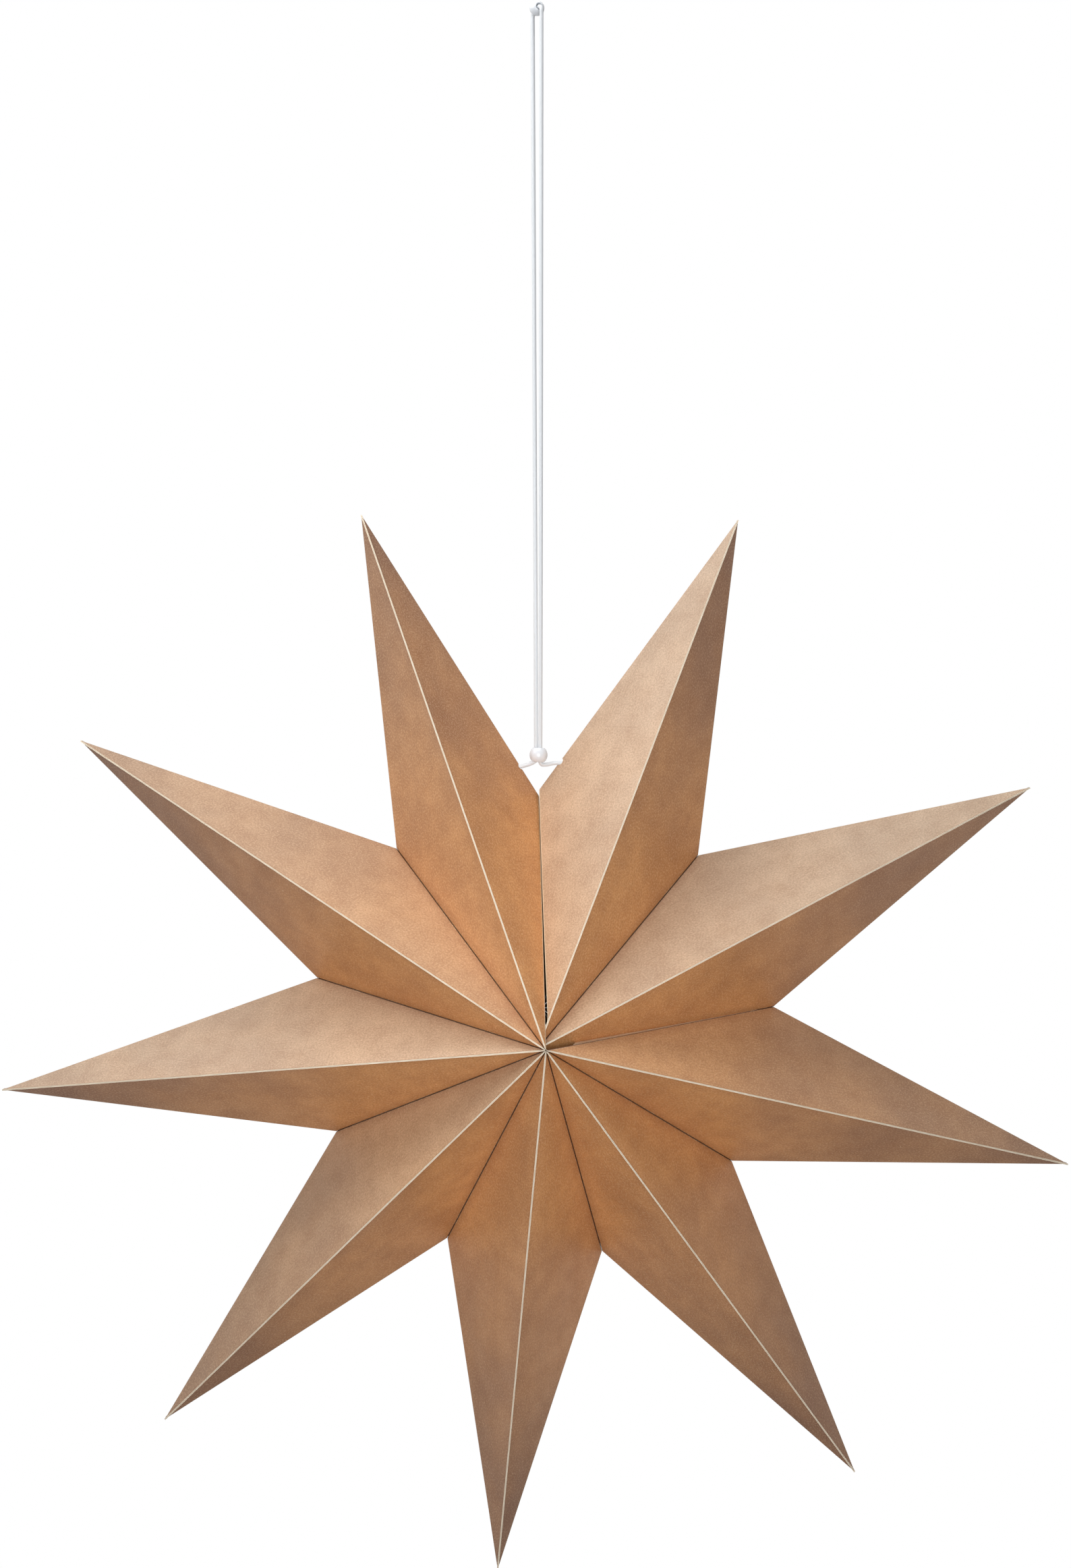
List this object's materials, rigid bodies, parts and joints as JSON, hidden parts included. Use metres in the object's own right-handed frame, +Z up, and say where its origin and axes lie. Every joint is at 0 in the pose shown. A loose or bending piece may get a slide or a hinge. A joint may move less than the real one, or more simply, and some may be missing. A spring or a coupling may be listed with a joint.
{
  "type": "hanging paper star",
  "caption": "Hollow star folded from creased card sheets with sharp hollow points, hung on a looped cord with a small bead at its top and a larger sliding bead above the star.",
  "frame": {"origin": "centre of the bead at the top of the cord's loop, where the star hangs", "axes": "X to the right, Y to the back, Z up; the star's front apex points along -Y"},
  "size_m": [0.5864, 0.2032, 0.8631],
  "materials": {
    "card": "satin",
    "cord": "matte",
    "bead": "gloss"
  },
  "bodies": {
    "root": {"point_1_sheet_a": "card", "point_1_sheet_b": "card", "point_2_sheet_a": "card", "point_2_sheet_b": "card", "point_3_sheet_a": "card", "point_3_sheet_b": "card", "point_4_sheet_a": "card", "point_4_sheet_b": "card", "point_5_sheet_a": "card", "point_5_sheet_b": "card", "point_6_sheet_a": "card", "point_6_sheet_b": "card", "point_7_sheet_a": "card", "point_7_sheet_b": "card", "point_8_sheet_a": "card", "point_8_sheet_b": "card", "point_9_sheet_a": "card", "point_9_sheet_b": "card", "hanging_cord": "cord", "cord_knot_left": "cord", "cord_knot_right": "cord", "top_bead": "bead", "sliding_bead": "bead"}
  },
  "joints": []
}
